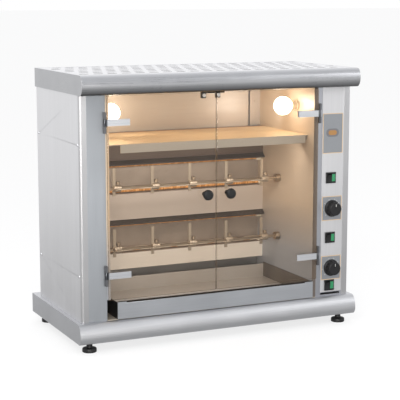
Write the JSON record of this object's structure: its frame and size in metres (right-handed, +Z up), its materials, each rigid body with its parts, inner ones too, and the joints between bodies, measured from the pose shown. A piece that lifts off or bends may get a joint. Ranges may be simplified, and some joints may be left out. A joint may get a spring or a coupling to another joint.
{
  "type": "rotisserie oven",
  "caption": "Countertop rotisserie oven: motor-driven spits behind hinged glass doors, a lit warming shelf, a slide-out drip tray and a column of knobs and switches.",
  "frame": {"origin": "on the table, in the middle of the outer box's underside", "axes": "+X to the right as seen from the front, +Y to the back, +Z up"},
  "size_m": [0.866, 0.45, 0.76],
  "materials": {
    "outer_steel": "brushed satin stainless",
    "shaded_steel": "brushed satin stainless, darker",
    "plinth_steel": "brushed satin stainless",
    "liner_steel": "bright stainless, lit warm",
    "heat_steel": "heat-browned steel",
    "polished_steel": "polished",
    "spit_steel": "bright drawn bar",
    "black_plastic": "moulded, matt",
    "knob_plastic": "moulded, semi-gloss",
    "green_lens": "translucent green",
    "printed_plate": "printed aluminium, satin",
    "quartz": "quartz tube, warm",
    "ceramic": "unglazed ceramic",
    "lamp_glass": "lit, warm white",
    "door_glass": "tinted toughened glass",
    "motor_metal": "die cast",
    "black_enamel": "black enamel"
  },
  "bodies": {
    "cabinet": {"base_plinth": "plinth_steel", "base_bottom_plate": "shaded_steel", "levelling_feet": "black_plastic", "left_side_panel": "outer_steel", "right_side_panel": "outer_steel", "back_panel": "outer_steel", "left_pillar": "shaded_steel", "right_column": "shaded_steel", "control_panel": "outer_steel", "nameplate": "printed_plate", "top_cap": "outer_steel", "vent_panel": "outer_steel", "liner_left": "liner_steel", "liner_right": "liner_steel", "liner_ceiling": "liner_steel", "cavity_floor": "liner_steel", "upper_back_wall": "liner_steel", "reflector_panels": "liner_steel", "heater_boxes": "heat_steel", "heater_hoods": "heat_steel", "quartz_elements": "quartz", "element_holders": "ceramic", "warming_shelf": "liner_steel", "shelf_rails": "heat_steel", "lamp_holders": "ceramic", "lamp_bulbs": "lamp_glass", "hinge_brackets": "shaded_steel", "hinge_pins": "polished_steel", "door_magnets": "black_plastic", "spit_bushes": "spit_steel", "gear_motors": "motor_metal", "switch_housings": "black_plastic", "switch_lenses": "green_lens", "knob_plates": "printed_plate", "regulators": "black_plastic", "panel_screws": "polished_steel", "cable_gland": "black_plastic", "terminal_block": "ceramic"},
    "left_door": {"left_door_glass": "door_glass", "left_door_clips": "polished_steel", "left_door_knob": "black_plastic"},
    "right_door": {"right_door_glass": "door_glass", "right_door_clips": "polished_steel", "right_door_knob": "black_plastic"},
    "upper_spit": {"upper_spit_bar": "spit_steel", "upper_spit_forks": "spit_steel", "upper_thumb_screws": "polished_steel", "upper_drive_coupling": "spit_steel"},
    "lower_spit": {"lower_spit_bar": "spit_steel", "lower_spit_forks": "spit_steel", "lower_thumb_screws": "polished_steel", "lower_drive_coupling": "spit_steel"},
    "upper_control_knob": {"upper_knob": "knob_plastic"},
    "lower_control_knob": {"lower_knob": "knob_plastic"},
    "top_rocker": {"rocker_top": "knob_plastic"},
    "middle_rocker": {"rocker_middle": "knob_plastic"},
    "bottom_rocker": {"rocker_bottom": "knob_plastic"},
    "tray": {"drip_tray": "liner_steel", "tray_sides": "black_enamel", "tray_front": "shaded_steel"}
  },
  "joints": [
    {"name": "left_door_hinge", "type": "hinge", "parent": "cabinet", "child": "left_door", "pos_m": [-0.3485, -0.1855, 0.4185], "axis": [0, 0, -1], "range_deg": [0, 110]},
    {"name": "right_door_hinge", "type": "hinge", "parent": "cabinet", "child": "right_door", "pos_m": [0.3145, -0.1855, 0.4185], "axis": [0, 0, 1], "range_deg": [0, 110]},
    {"name": "tray_slide", "type": "slide", "parent": "cabinet", "child": "tray", "axis": [0, -1, 0], "range_m": [0, 0.26]},
    {"name": "upper_spit_turn", "type": "hinge", "parent": "cabinet", "child": "upper_spit", "pos_m": [-0.017, 0.03, 0.415], "axis": [1, 0, 0], "continuous": true},
    {"name": "lower_spit_turn", "type": "hinge", "parent": "cabinet", "child": "lower_spit", "pos_m": [-0.017, 0.03, 0.235], "axis": [1, 0, 0], "continuous": true},
    {"name": "upper_knob_turn", "type": "hinge", "parent": "cabinet", "child": "upper_control_knob", "pos_m": [0.361, -0.19, 0.348], "axis": [0, 1, 0], "range_deg": [0, 270]},
    {"name": "lower_knob_turn", "type": "hinge", "parent": "cabinet", "child": "lower_control_knob", "pos_m": [0.361, -0.19, 0.17], "axis": [0, 1, 0], "range_deg": [0, 270]},
    {"name": "top_rocker_tilt", "type": "hinge", "parent": "cabinet", "child": "top_rocker", "pos_m": [0.351, -0.176, 0.439], "axis": [-1, 0, 0], "range_deg": [0, 16]},
    {"name": "middle_rocker_tilt", "type": "hinge", "parent": "cabinet", "child": "middle_rocker", "pos_m": [0.351, -0.176, 0.261], "axis": [-1, 0, 0], "range_deg": [0, 16]},
    {"name": "bottom_rocker_tilt", "type": "hinge", "parent": "cabinet", "child": "bottom_rocker", "pos_m": [0.351, -0.176, 0.117], "axis": [-1, 0, 0], "range_deg": [0, 16]}
  ]
}
